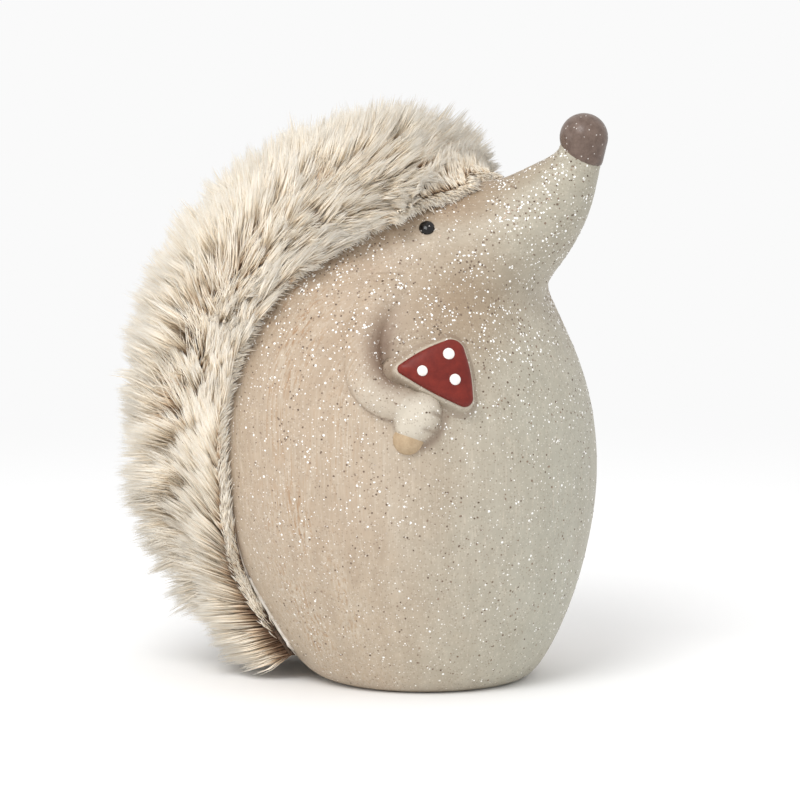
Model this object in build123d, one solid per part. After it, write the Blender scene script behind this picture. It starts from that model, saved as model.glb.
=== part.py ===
from build123d import *
from math import cos, radians, sin, tan
import os

# Hedgehog ornament: a hollow stoneware body whose head draws out into a snout that looks up,
# with a strip of long-pile fur glued round its back and over its head. Its right arm holds a
# toadstool. The frame has +Z up, the snout towards -Y, the animal's right towards -X, and the
# origin at the centre of the foot, on the surface that the ornament stands on.

# Driving sizes, in millimetres
body_height = 144
body_depth = 102.5
body_width = 96

# Hollow casting
wall = 4
floor_thickness = 4.5
foot_ring_width = 6
foot_recess = 1.5
pour_hole_radius = 9
overrun = 2

# Nose and eyes
nose_radius = 5.85
nose_rise = 4.5
nose_lean = 7
eye_radius = 1.9
eye_proud = 1.1

# Toadstool
cap_width = 23.6
cap_height = 16.4
cap_tip_radius = 1.3
cap_heel_radius = 2
cap_apex_radius = 3.4
cap_tilt = -31.2
cap_top = 4.4
cap_edge_radius = 1.2
gill_top = 2.8
gill_margin = 0.5
gill_sink = 4
stalk_top_radius = 2.6
stalk_top_proud = 2.4
bulb_radius = 3.8
bulb_proud = 3
spot_radii = (1.5, 1.26, 1.4)
spot_proud = 0.35

# Arms: the radius of each cross-section from shoulder to wrist, and how far it stands proud
arm_radii = (4.1, 4.7, 4.6, 4.7, 4.6, 4.4)
arm_prouds = (0, 1.8, 3, 3.6, 4, 4.3)
paw_length = 14
paw_width = 11.4
paw_proud = 4.8

# Hollow between the right arm and the toadstool
hollow_radii = (2.4, 3, 3.4, 3.5, 3.2, 2.6)
hollow_depths = (0, 1, 1.7, 1.9, 1.5, 0.9)

# Fur: glue film, woven backing and the pile, as far out as it looks closed. It is deepest over the
# spine and thinner down the sides, where the fibres lie flatter.
glue_film = 0.4
backing_thickness = 1
skin_side_share = 0.8
pile_thickness = 13.5
pile_side_thickness = 6.5
pile_lean = 43
brow_lean = 48
brow_turn = 75

# The body's cross-sections, from the foot to the seat of the nose. Each is an ellipse that spans
# from a point on the back to a point on the front: y as shares of the depth, z as shares of the
# height, and the half width as a share of the width.
body_section_shares = [
    (0.218, 0.000, -0.259, 0.000, 0.262),
    (0.257, 0.010, -0.282, 0.012, 0.288),
    (0.298, 0.034, -0.306, 0.034, 0.316),
    (0.380, 0.122, -0.366, 0.122, 0.386),
    (0.472, 0.236, -0.412, 0.236, 0.453),
    (0.533, 0.347, -0.432, 0.347, 0.490),
    (0.557, 0.444, -0.424, 0.444, 0.500),
    (0.550, 0.556, -0.392, 0.533, 0.490),
    (0.507, 0.660, -0.350, 0.602, 0.455),
    (0.429, 0.743, -0.320, 0.645, 0.410),
    (0.317, 0.812, -0.308, 0.670, 0.352),
    (0.176, 0.861, -0.320, 0.694, 0.290),
    (0.029, 0.876, -0.348, 0.720, 0.230),
    (-0.098, 0.866, -0.381, 0.751, 0.177),
    (-0.205, 0.874, -0.415, 0.791, 0.133),
    (-0.299, 0.905, -0.445, 0.843, 0.096),
    (-0.374, 0.941, -0.468, 0.906, 0.0573),
]
section_points = 12
first_cavity_section = 2
last_cavity_section = 13
first_pile_section = 2
last_pile_section = 14

# Places on the body's side, seen square from the side: y as a share of the depth, z of the height
eye_place_shares = (-0.110, 0.807)
cap_place_shares = (-0.197, 0.571)
bulb_place_shares = (-0.141, 0.463)
paw_place_shares = (-0.158, 0.502)
arm_place_shares = [
    (-0.048, 0.693),
    (-0.022, 0.658),
    (-0.016, 0.617),
    (-0.038, 0.572),
    (-0.086, 0.532),
    (-0.131, 0.522),
]
hollow_place_shares = [
    (-0.072, 0.685),
    (-0.062, 0.658),
    (-0.057, 0.621),
    (-0.069, 0.593),
    (-0.095, 0.569),
    (-0.125, 0.550),
]

# The apex of the cap along its base, and each spot's place on it: shares of its width and height
cap_apex_share = 0.48
cap_base_share = 0.33
spot_place_shares = [(-0.054, 0.654), (-0.245, 0.199), (0.147, 0.321)]

# The near edge of the fur, seen square from the side, from the rump round to the forehead
fur_edge_shares = [
    (0.240, 0.045),
    (0.285, 0.090),
    (0.334, 0.150),
    (0.340, 0.270),
    (0.352, 0.420),
    (0.328, 0.543),
    (0.284, 0.631),
    (0.192, 0.717),
    (0.086, 0.777),
    (-0.037, 0.826),
    (-0.168, 0.861),
]


def profile_points():
    """The points of the back and of the front in the middle plane, from the foot up."""
    backs = [Vector(0, s[0] * body_depth, s[1] * body_height) for s in body_section_shares]
    fronts = [Vector(0, s[2] * body_depth, s[3] * body_height) for s in body_section_shares]
    return backs, fronts


def ways_out(points, side):
    """At each point of a profile, the direction that leads out of the body."""
    last = len(points) - 1
    directions = []
    for i in range(last + 1):
        along = points[min(i + 1, last)] - points[max(i - 1, 0)]
        directions.append(Vector(0, side * along.Z, -side * along.Y).normalized())
    return directions


backs, fronts = profile_points()
back_ways = ways_out(backs, 1)
front_ways = ways_out(fronts, -1)
half_widths = [s[4] * body_width for s in body_section_shares]


def section(back, front, half_width):
    middle = (back + front) / 2
    to_side = Vector(half_width, 0, 0)
    points = []
    for i in range(section_points):
        turn = radians(360 * i / section_points)
        points.append(middle + to_side * cos(turn) + (back - middle) * sin(turn))
    return Face(Wire([Spline(points, periodic=True)]))


def body_form():
    return loft([section(b, f, w) for b, f, w in zip(backs, fronts, half_widths)])


def cavity_form():
    """The space inside the casting: each cross-section drawn in by the wall."""
    sections = []
    for i in range(first_cavity_section, last_cavity_section + 1):
        back = backs[i] - back_ways[i] * wall
        front = fronts[i] - front_ways[i] * wall
        if i == first_cavity_section:
            back = Vector(0, back.Y, floor_thickness)
            front = Vector(0, front.Y, floor_thickness)
        sections.append(section(back, front, half_widths[i] - wall))
    return loft(sections)


def grown_sections(back_growth, side_growth):
    """The body's cross-sections grown outwards over its back and its sides."""
    sections = []
    for back, way, front, half_width in zip(backs, back_ways, fronts, half_widths):
        sections.append(section(back + way * back_growth, front, half_width + side_growth))
    return sections


def skin_form(thickness):
    return loft(grown_sections(thickness, skin_side_share * thickness))


def pile_form():
    """The outside of the pile, one straight stretch between each two cross-sections."""
    under = glue_film + backing_thickness
    sections = grown_sections(under + pile_thickness, under + pile_side_thickness)
    sections = sections[first_pile_section:last_pile_section + 1]
    stretches = [loft([low, high]) for low, high in zip(sections, sections[1:])]
    return stretches[0].fuse(*stretches[1:])


body = body_form()


def seat(place_shares, side):
    """The point of the body's side at this place, and the way out of the surface there."""
    y = place_shares[0] * body_depth
    z = place_shares[1] * body_height
    line = Axis((side * body_width, y, z), (-side, 0, 0))
    point = body.find_intersection_points(line)[0][0]
    surface = body.faces().sort_by_distance(point)[0]
    return point, surface.normal_at(point)


def tube_form(place_shares, radii, heights, side):
    """A round form that follows the surface, with its middle at these heights above it."""
    centres = []
    for place, height in zip(place_shares, heights):
        point, normal = seat(place, side)
        centres.append(point + normal * height)
    path = Spline(centres)
    rings = []
    for i, (centre, radius) in enumerate(zip(centres, radii)):
        along = path % (i / (len(centres) - 1))
        outwards = seat(place_shares[i], side)[1]
        rings.append(Plane(centre, x_dir=outwards.cross(along), z_dir=along) * Circle(radius))
    return loft(rings)


def body_shell(body_outside):
    """The casting: cavity, recessed foot and the hole that the slip was poured out of."""
    back, front = backs[0], fronts[0]
    recess_length = (back.Y - front.Y) / 2 - foot_ring_width
    recess_width = half_widths[0] - foot_ring_width
    middle = Pos(0, (back.Y + front.Y) / 2, 0)
    recess = middle * extrude(Ellipse(recess_width, recess_length), foot_recess)
    pour_hole = middle * extrude(Circle(pour_hole_radius), floor_thickness + overrun)
    return body_outside - cavity_form() - recess - pour_hole


def nose(body_outside):
    """The nose: a ball carried on a short neck that spreads from the end of the snout."""
    back, front = backs[-1], fronts[-1]
    tilt = radians(nose_lean)
    upwards = Vector(0, -sin(tilt), cos(tilt))
    ball_centre = (back + front) / 2 + upwards * nose_rise
    equator = Plane(ball_centre, x_dir=(1, 0, 0), z_dir=upwards) * Circle(nose_radius)
    neck = loft([section(back, front, half_widths[-1]), equator])
    return neck + Pos(*ball_centre) * Sphere(nose_radius) - body_outside


def eye(side, body_outside):
    """A bead that stands proud of the cheek."""
    bead_radius = (eye_radius ** 2 + eye_proud ** 2) / (2 * eye_proud)
    point, normal = seat(eye_place_shares, side)
    return Pos(*(point + normal * (eye_proud - bead_radius))) * Sphere(bead_radius) - body_outside


def cap_plane():
    """The plane of the toadstool: X along the base of the cap, Y towards its apex, Z outwards."""
    point, normal = seat(cap_place_shares, -1)
    level = Vector(0, 0, 1).cross(normal).normalized()
    turn = radians(cap_tilt)
    along_base = level * cos(turn) + normal.cross(level) * sin(turn)
    return Plane(point, x_dir=along_base, z_dir=normal)


cap_base = -cap_base_share * cap_height


def cap_outline():
    """A rounded triangle with its base level: tip to the left, apex on top, heel to the right."""
    left = (-cap_width / 2, cap_base)
    right = (cap_width / 2, cap_base)
    apex = (cap_width * (cap_apex_share - 1 / 2), cap_base + cap_height)
    outline = make_face(Polyline(left, right, apex, close=True))
    corners = ((left, cap_tip_radius), (right, cap_heel_radius), (apex, cap_apex_radius))
    for corner, radius in corners:
        nearest = outline.vertices().sort_by_distance(corner)[0]
        outline = fillet(nearest, radius)
    return outline


def cap_gills(plane, body_outside):
    """The pale underside of the cap, which shows as a rim round it."""
    plate = extrude(offset(cap_outline(), gill_margin), gill_top + gill_sink)
    return plane * (Pos(0, 0, -gill_sink) * plate) - body_outside


def cap(plane, body_outside):
    """The red top of the cap, with its upper edge rounded."""
    slab = extrude(Pos(0, 0, gill_top) * cap_outline(), cap_top - gill_top)
    top_edges = slab.edges().group_by(Axis.Z)[-1]
    return plane * fillet(top_edges, cap_edge_radius) - body_outside


def cap_spot(plane, place_shares, radius):
    """A round dab of white on the cap."""
    dab_radius = (radius ** 2 + spot_proud ** 2) / (2 * spot_proud)
    place = Pos(place_shares[0] * cap_width, cap_base + place_shares[1] * cap_height, cap_top)
    dome = Pos(0, 0, spot_proud - dab_radius) * Sphere(dab_radius)
    return plane * place * (dome & extrude(Circle(radius), spot_proud))


def stalk_form(plane):
    """The stalk, from under the cap down to the bulb at its foot."""
    top_point = plane.from_local_coords((0, cap_base, 0))
    top = top_point + plane.z_dir * (stalk_top_proud - stalk_top_radius)
    bulb_point, bulb_normal = seat(bulb_place_shares, -1)
    bulb = bulb_point + bulb_normal * (bulb_proud - bulb_radius)
    stem = loft([
        Plane(bulb, z_dir=top - bulb) * Circle(bulb_radius),
        Plane(top, z_dir=top - bulb) * Circle(stalk_top_radius),
    ])
    return stem + Pos(*bulb) * Sphere(bulb_radius)


def paw_form(side, along):
    """The paw: an egg that lies on the surface with its long way along the stalk."""
    point, normal = seat(paw_place_shares, side)
    centre = point + normal * (paw_proud - paw_width / 2)
    right_of_axis = Pos(paw_width / 2, 0) * Rectangle(paw_width, 2 * paw_length)
    egg = revolve(Ellipse(paw_width / 2, paw_length / 2) & right_of_axis, Axis.Y)
    return Plane(centre, x_dir=along.cross(normal), z_dir=normal) * egg


def mirrored(shape):
    return mirror(shape, about=Plane.YZ)


def fur_wedge():
    """The space over the fur's place. Its sides lean back as they stand out from the body."""
    lean = tan(radians(pile_lean))
    edge = [Vector(0, s[0] * body_depth, s[1] * body_height) for s in fur_edge_shares]
    turns = [radians(brow_turn) * s[1] ** 2 for s in fur_edge_shares]
    insides = [Vector(0, cos(turn), sin(turn)) for turn in turns]
    offsets = [seat(s, 1)[0].X for s in fur_edge_shares]
    reach = body_width / 2 + pile_thickness + overrun
    far = body_depth + pile_thickness
    rise = body_height / 2
    brow_set_back = rise * tan(radians(brow_lean))
    outlines = []
    for x in (-reach, 0, reach):
        points = []
        for place, inside, at in zip(edge, insides, offsets):
            points.append(Vector(x, 0, 0) + place + inside * (abs(x) - at) * lean)
        rump, brow = points[0], points[-1]
        corners = [
            brow,
            brow + Vector(0, brow_set_back, rise),
            Vector(x, far, brow.Z + rise),
            Vector(x, far, rump.Z),
            rump,
        ]
        outlines.append(make_face([Spline(points), *Polyline(corners).edges()]))
    return loft(outlines, ruled=True)


hollow_heights = [radius - depth for radius, depth in zip(hollow_radii, hollow_depths)]
arm_heights = [proud - radius for radius, proud in zip(arm_radii, arm_prouds)]

hollow = tube_form(hollow_place_shares, hollow_radii, hollow_heights, -1)
body_outside = body - hollow
toadstool = cap_plane()
stalk = stalk_form(toadstool)
gills = cap_gills(toadstool, body_outside)
stalk = stalk - gills - body_outside
along_stalk = toadstool.y_dir
arm = tube_form(arm_place_shares, arm_radii, arm_heights, -1) + paw_form(-1, along_stalk)
left_arm = mirrored(arm) - body_outside
right_arm = arm - body_outside - stalk - gills
band = fur_wedge()
under_fur = skin_form(glue_film)
under_pile = skin_form(glue_film + backing_thickness)
pile_top = pile_form()

nodes = {
    "body_shell": body_shell(body_outside),
    "nose_tip": nose(body_outside),
    "eye_right": eye(-1, body_outside),
    "eye_left": eye(1, body_outside),
    "arm_right": right_arm,
    "arm_left": left_arm,
    "mushroom_cap": cap(toadstool, body_outside),
    "mushroom_gills": gills,
    "mushroom_stalk": stalk,
    "fur_adhesive": (under_fur & band) - body,
    "fur_backing": (under_pile & band) - under_fur,
    "fur_pile": (pile_top & band) - under_pile,
}
for number, (place, radius) in enumerate(zip(spot_place_shares, spot_radii), 1):
    nodes[f"cap_spot_{number}"] = cap_spot(toadstool, place, radius)

os.makedirs("parts", exist_ok=True)
for name, shape in nodes.items():
    export_step(shape, f"parts/{name}.step")
    solids = shape.solids()
    print(name, len(solids), round(shape.volume), shape.is_valid, shape.bounding_box())
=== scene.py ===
from math import cos, pi, radians, sin

import bmesh
import bpy
import numpy as np
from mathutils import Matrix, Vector
from mathutils.bvhtree import BVHTree
from mathutils.kdtree import KDTree
from mathutils.noise import seed_set, turbulence, turbulence_vector


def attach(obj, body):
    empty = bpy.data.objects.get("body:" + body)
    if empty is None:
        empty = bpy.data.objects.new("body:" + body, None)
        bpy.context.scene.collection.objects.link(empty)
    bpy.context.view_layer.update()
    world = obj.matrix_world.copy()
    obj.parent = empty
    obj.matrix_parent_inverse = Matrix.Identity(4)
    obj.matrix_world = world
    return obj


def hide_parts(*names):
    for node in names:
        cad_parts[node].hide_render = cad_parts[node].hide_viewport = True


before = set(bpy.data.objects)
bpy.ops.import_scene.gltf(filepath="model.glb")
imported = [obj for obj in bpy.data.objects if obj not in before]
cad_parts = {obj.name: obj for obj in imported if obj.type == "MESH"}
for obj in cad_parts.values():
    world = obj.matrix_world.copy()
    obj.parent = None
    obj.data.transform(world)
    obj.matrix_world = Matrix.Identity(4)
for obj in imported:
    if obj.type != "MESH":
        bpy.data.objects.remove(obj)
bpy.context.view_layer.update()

# Hedgehog ornament. The frame has +Z up and the snout towards -Y. Lengths are in metres.
mm = 0.001
weld = 0.0005 * mm

# View: a long lens, level with the back, seen from the animal's right
view_azimuth = radians(-68)
view_elevation = radians(9)
view_distance = 2500 * mm
view_lens = 450
view_target = Vector((8.15, 8.42, 67.66)) * mm

# Casting. Its skin is found by looking straight in from this far out to the side.
side_reach = 120
casting_voxel = 1.06 * mm
casting_smoothing = 12
nose_voxel = 0.36 * mm
nose_smoothing = 5
nose_paint_film = 0.16 * mm

# Relief of the arms: a grid over the body's side, and the line of each arm and hollow from the
# shoulder down, as (y, z) places in millimetres seen square from the side. The arm's profile holds
# its radius, how far it stands proud and its fillet, and the hollow's its width and depth.
relief_low = Vector((-31.5, 57.5))
relief_high = Vector((9.0, 106.0))
relief_step = 0.42
relief_smoothing = 14
relief_film = 0.04
relief_sink = 0.3
relief_margin = 5.0
relief_thickness = 1.2
line_samples = 160
arm_line = [
    (-6.4, 102.6), (-3.2, 97.6), (-1.8, 91.8), (-2.6, 85.6), (-4.4, 80.4), (-8.2, 76.9), (-13.0, 75.3),
]
arm_profile = [
    (3.6, -0.6, 3.0), (4.4, 1.0, 2.6), (4.7, 2.2, 1.9), (4.8, 3.1, 1.2), (4.8, 3.8, 0.7), (4.6, 4.1, 0.5),
    (4.4, 4.1, 0.5),
]
hollow_line = [(-8.6, 99.0), (-7.0, 94.6), (-6.4, 89.8), (-7.3, 85.4), (-9.8, 81.8), (-13.2, 79.2)]
hollow_profile = [(3.6, 0.2), (3.4, 0.7), (3.2, 1.2), (3.0, 1.4), (2.8, 1.2), (2.4, 0.6)]
paw_place = (-16.4, 72.2)
paw_half_length = 7.0
paw_half_width = 5.7
paw_rise = 5.6
paw_sink = 0.9
finger_creases = ((1.9, 0.7), (-2.3, 0.6))

# Toadstool. Its body rests on the skin found by looking in from this far above its plane.
cap_reach = 12
cap_middle = np.array([0.3, -0.6])
cap_place = (-20.19, 82.22)
cap_tilt = radians(-31.2)
cap_width = 23.6
cap_height = 16.4
cap_base = -5.41
cap_apex = -0.47
cap_corner_radii = (1.3, 2.2, 3.4)
cap_bulge = 0.45
cap_points = 96
spots = [((-1.15, 4.22), 1.45), ((-5.14, -2.75), 1.32), ((3.03, -0.78), 1.4)]
bulb_place = (-14.45, 66.67)
bulb_radius = 3.8
bulb_proud = 3.0
stem_profile = [(3.78, 0.12), (3.4, 0.3), (2.9, 0.5), (2.6, 0.8), (2.3, 1.0)]
ring_points = 36

# Eyes
eye_place = (-11.28, 116.21)
eye_radius = 1.95

# Fur. Round the strip, a place is in degrees from straight down, over the back: 20 at the rump end
# and 191 at the brow. Across it, a gap is in millimetres in from the cut edge. Each table pairs
# places or gaps with values.
strand_length = 18.0
strand_columns = 64
nap_centre = (-6.0, 70.0)
brow_start = -4.0
brow_slope, side_slope, cut_slope, cut_angle = 0.5, 0.76, 0.5, 0.8
edge_step = 0.4
brow_trim_y, brow_trim_z, brow_trim_slope = -13.6 * mm, 126 * mm, 0.6
brow_stubble = 3.2 * mm
fibre_levels = (0.0, 0.6, 1.0)
fibre_swells = (0.8, 1.0, 0.3)
clump_pulls = (0, 0.15, 0.55)
lean_round = ([20, 45, 90, 130, 165, 174, 180, 186, 191], [2, 14, 20, 26, 24, 12, 2, -10, -14])
laid_lean_round = ([20, 32, 46, 62, 140, 168, 180, 186, 191], [2, 20, 60, 68, 70, 62, 34, 12, 0])
length_round = (
    [20, 27, 36, 48, 62, 76, 168, 176, 182, 186, 189, 191],
    [0.5, 0.74, 1.03, 1.15, 1.12, 1.0, 1.0, 0.94, 0.72, 0.50, 0.36, 0.28],
)
comb_back_round = ([174, 180, 185, 190], [-1.0, -0.25, 0.1, 0.4])
edge_spread = ([0, 3, 12], [0.22, 0.27, 0.40])
flank_spread = ([0, 3, 12], [0.46, 0.38, 0.22])
hem_over_round = ([40, 60, 110, 140], [0.7, 0.95, 0.95, 0.55])
hem_length_round = ([40, 60, 110, 140, 180, 190], [5.0, 5.6, 5.6, 5.0, 4.2, 3.1])
# Partings on the right side: how far round the strip and in from its edge, how long and wide, how open
partings = [
    (131, 13.5, 9, 3.4, 1.1), (120, 13.0, 8, 2.8, 0.9), (106, 14.5, 9, 2.4, 0.7), (149, 18.0, 6, 2.2, 0.6),
    (163, 6.0, 5, 1.8, 0.5), (171, 9.0, 5, 1.6, 0.5), (141, 8.0, 5, 1.8, 0.6), (113, 6.0, 6, 1.8, 0.5),
    (155, 13.0, 5, 1.8, 0.5), (126, 22.0, 6, 2.0, 0.5), (138, 24.0, 6, 2.0, 0.4), (96, 22.0, 7, 2.0, 0.35),
]

# Glue round the rump end of the fur
bead_end = 44
bead_joints = 26
bead_reach = 0.9
bead_radius = 0.8

# Glitter, and how thick it lies by height and from the snout's side to the back
glitter_by_height = ([0, 10, 55, 80, 100, 118, 145], [0.04, 0.09, 0.18, 0.36, 0.95, 1.0, 0.85])
glitter_by_depth = ([-45, -30, 10, 40], [0.9, 1.0, 0.9, 0.55])
flake_thickness, flake_sink = 0.07 * mm, 0.02 * mm
flake_drop = 9 * mm
clear_of_fur = 2.2 * mm

# Floor and light
backdrop_start = 0.12
backdrop_end = 0.42
backdrop_colour = (0.956, 0.956, 0.956)
lamp_aim = Vector((0, 0, 0.07))

random_seed = 20
rng = np.random.default_rng(random_seed)
seed_set(random_seed)


def unit(vectors):
    """These vectors, each made one long."""
    lengths = np.linalg.norm(vectors, axis=-1, keepdims=True)
    return vectors / np.maximum(lengths, 1e-12)


def smooth_step(low, high, values):
    shares = np.clip((values - low) / (high - low), 0, 1)
    return shares * shares * (3 - 2 * shares)


def smooth_max(a, b, blend):
    """The larger of two heights, with a fillet about this wide where they cross."""
    return (a + b + np.sqrt((a - b) ** 2 + blend ** 2)) / 2


def flattened(vectors, normals):
    """Directions laid along the surface that has these normals."""
    return unit(vectors - normals * np.sum(vectors * normals, axis=-1, keepdims=True))


def search_tree(points):
    tree = KDTree(len(points))
    for i, point in enumerate(points):
        tree.insert(point, i)
    tree.balance()
    return tree


def nearest(points, targets):
    """For each point, the nearest target's index and its distance."""
    tree = search_tree(targets)
    indexes, gaps = zip(*(tree.find(point)[1:] for point in points))
    return np.array(indexes), np.array(gaps)


# Shader nodes

class Field:
    """A shader node's output. Plain arithmetic on it makes the nodes that it needs."""

    def __init__(self, socket):
        self.socket = socket
        self.tree = socket.id_data

    def __add__(self, other):
        return maths("ADD", self, other)

    def __sub__(self, other):
        return maths("SUBTRACT", self, other)

    def __rsub__(self, other):
        return maths("SUBTRACT", other, self)

    def __mul__(self, other):
        return maths("MULTIPLY", self, other)

    def __truediv__(self, other):
        return maths("DIVIDE", self, other)

    def __pow__(self, other):
        return maths("POWER", self, other)

    def __abs__(self):
        return maths("ABSOLUTE", self)


def node(kind, output, inputs=None, settings=None, tree=None):
    """The named output of a new shader node, or a list where several are named. An input's value is
    a field, a number or a colour, and the tree is that of its fields unless it is given."""
    inputs = inputs or {}
    tree = tree or next(value.tree for value in inputs.values() if isinstance(value, Field))
    made = tree.nodes.new("ShaderNode" + kind)
    for name, value in (settings or {}).items():
        setattr(made, name, value)
    for name, value in inputs.items():
        socket = made.inputs[name]
        if isinstance(value, Field):
            tree.links.new(value.socket, socket)
        else:
            socket.default_value = (*value, 1) if isinstance(value, tuple) else value
    if isinstance(output, tuple):
        return [Field(made.outputs[name]) for name in output]
    return Field(made.outputs[output])


def maths(operation, *values):
    return node("Math", 0, dict(enumerate(values)), {"operation": operation})


def clamped(field):
    """The sum or product that was made last, kept between 0 and 1."""
    field.socket.node.use_clamp = True
    return field


def mixed(share, first, second, blend="MIX"):
    """Two colours mixed, by a share of the second."""
    settings = {"data_type": "RGBA", "blend_type": blend}
    return node("Mix", 2, {0: share, 6: first, 7: second}, settings)


def ramp(value, *stops):
    """A colour or grey that follows a value through stops of (place, colour)."""
    made = node("ValToRGB", 0, {0: value})
    elements = made.socket.node.color_ramp.elements
    while len(elements) < len(stops):
        elements.new(1)
    for element, (place, colour) in zip(elements, stops):
        element.position = place
        element.color = (*colour, 1) if isinstance(colour, tuple) else (colour, colour, colour, 1)
    return made


def eased(value, low, high, first=0, last=1):
    """A number that eases from first to last while the value goes from low to high."""
    inputs = {0: value, 1: low, 2: high, 3: first, 4: last}
    return node("MapRange", 0, inputs, {"interpolation_type": "SMOOTHSTEP"})


def noise(place, scale, detail=2, roughness=0.5):
    return node("TexNoise", 0, {"Vector": place, "Scale": scale, "Detail": detail, "Roughness": roughness})


def axes(vector):
    return node("SeparateXYZ", (0, 1, 2), {0: vector})


def far_off(vector):
    """A place's distance from the origin."""
    return node("VectorMath", "Value", {0: vector}, {"operation": "LENGTH"})


def object_place(tree):
    """The place on the ornament, in millimetres."""
    place = node("TexCoord", "Object", tree=tree)
    return node("VectorMath", 0, {0: place, 3: 1 / mm}, {"operation": "SCALE"})


def attribute(tree, name):
    return node("Attribute", "Fac", None, {"attribute_name": name}, tree)


def group(name, given, results, build):
    """A node group of numbers: build(tree, fields in) returns the fields out."""
    tree = bpy.data.node_groups.new(name, "ShaderNodeTree")
    for in_out, labels in (("INPUT", given), ("OUTPUT", results)):
        for label in labels:
            tree.interface.new_socket(label, in_out=in_out, socket_type="NodeSocketFloat")
    start = tree.nodes.new("NodeGroupInput")
    end = tree.nodes.new("NodeGroupOutput")
    made = build(tree, *(Field(start.outputs[label]) for label in given))
    for socket, field in zip(end.inputs, made):
        tree.links.new(field.socket, socket)
    return tree


def placed(tree, made_group, *numbers):
    """A group placed in a material with these numbers as its inputs: the fields that it gives."""
    outputs = tuple(range(sum(item.in_out == "OUTPUT" for item in made_group.interface.items_tree)))
    return node("Group", outputs, dict(enumerate(numbers)), {"node_tree": made_group}, tree)


brush_turn_height = 72
brush_turn_place = -26
brush_turn_length = 45


def build_brush_lines(tree, scale, stretch):
    """Lines left by a broad brush. They climb the sides and then follow the back to the head."""
    x, y, z = axes(object_place(tree))
    above = maths("MAXIMUM", z - brush_turn_height, 0)
    behind = abs(y - brush_turn_place)
    across = maths("SQRT", above ** 2 + behind ** 2)
    along = maths("MINIMUM", z, brush_turn_height) + maths("ARCTAN2", above, behind) * brush_turn_length
    drawn = node("CombineXYZ", 0, {0: x, 1: across, 2: along / stretch})
    return [noise(drawn, scale, 3, 0.62)]


def build_dust(tree, scale, size, share):
    """Fine glitter dust: a few round grains in a field of cells, pale or dark."""
    settings = {"feature": "F1", "voronoi_dimensions": "3D"}
    inputs = {"Vector": object_place(tree), "Scale": scale, "Randomness": 1.0}
    distance, colour = node("TexVoronoi", ("Distance", "Color"), inputs, settings)
    chosen, chance = node("SeparateColor", (0, 1), {0: colour})
    return [maths("LESS_THAN", distance, size) * maths("LESS_THAN", chosen, share), chance]


brush_lines = group("Brush lines", ("Scale", "Stretch"), ("Lines",), build_brush_lines)
dust = group("Glitter dust", ("Scale", "Size", "Share"), ("Grains", "Chance"), build_dust)


def new_material(name, roughness, coat=0.0, coat_roughness=0.2, specular=0.5, metallic=0.0):
    """An empty material with its shader's plain numbers set."""
    material = bpy.data.materials.new(name)
    material.use_nodes = True
    shader = material.node_tree.nodes["Principled BSDF"]
    numbers = {
        "Roughness": roughness, "Coat Weight": coat, "Coat Roughness": coat_roughness,
        "Specular IOR Level": specular, "Metallic": metallic,
    }
    for label, number in numbers.items():
        shader.inputs[label].default_value = number
    return material, material.node_tree, shader


def surfaced(shader, colour, roughness=None, height=None, depth=0.0, strength=1.0):
    """Joins a shader to what varies over its surface. The height makes bumps of this depth."""
    made = {"Base Color": colour, "Roughness": roughness}
    if height:
        made["Normal"] = node("Bump", 0, {"Height": height, "Distance": depth, "Strength": strength})
    for label, field in made.items():
        if field:
            field.tree.links.new(field.socket, shader.inputs[label])


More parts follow.
